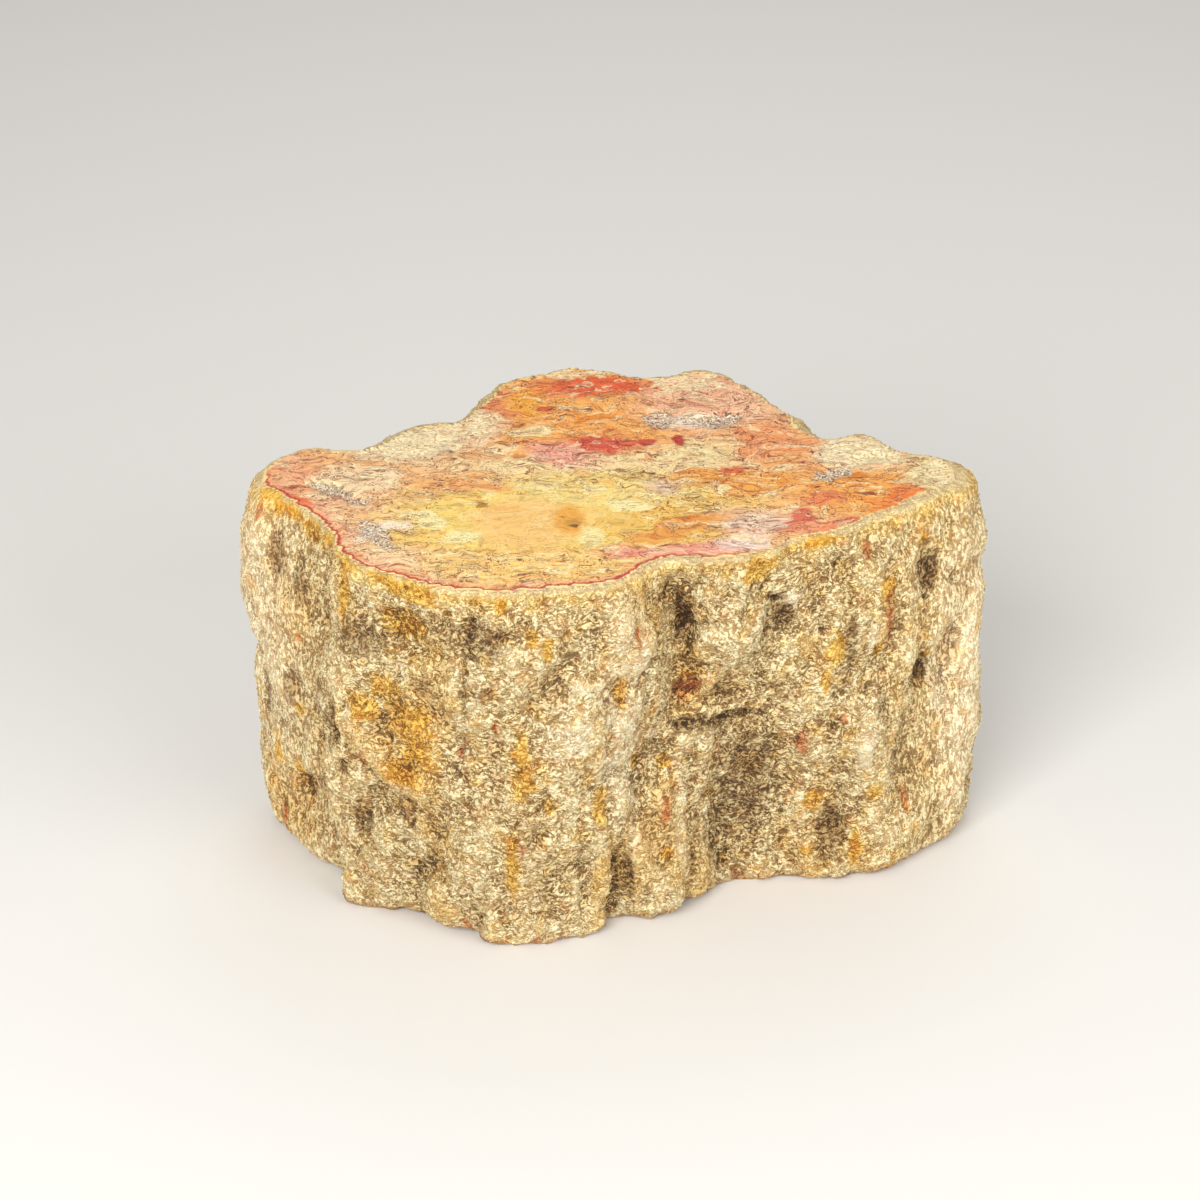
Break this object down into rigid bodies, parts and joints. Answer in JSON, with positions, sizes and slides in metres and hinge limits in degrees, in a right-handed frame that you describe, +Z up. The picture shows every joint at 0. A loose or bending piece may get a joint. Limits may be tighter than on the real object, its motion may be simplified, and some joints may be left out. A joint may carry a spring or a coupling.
{
  "type": "petrified wood stump",
  "caption": "Free-standing stump of petrified wood with weathered bark, a deep cleft in its side, a flat sawn top of coloured agate and a flat foot.",
  "frame": {"origin": "middle of the bounding box, on the surface that the stump stands on", "axes": "+Z up out of the sawn top, +X along the longest side to the right lobe, -Y towards the front with the cleft"},
  "size_m": [0.248, 0.1852, 0.13],
  "materials": {
    "petrified_wood": "weathered granular bark, matt; sawn top smooth, with a low sheen, in yellow, orange, red and pink"
  },
  "bodies": {
    "root": {"petrified_stump": "petrified_wood"}
  },
  "joints": []
}
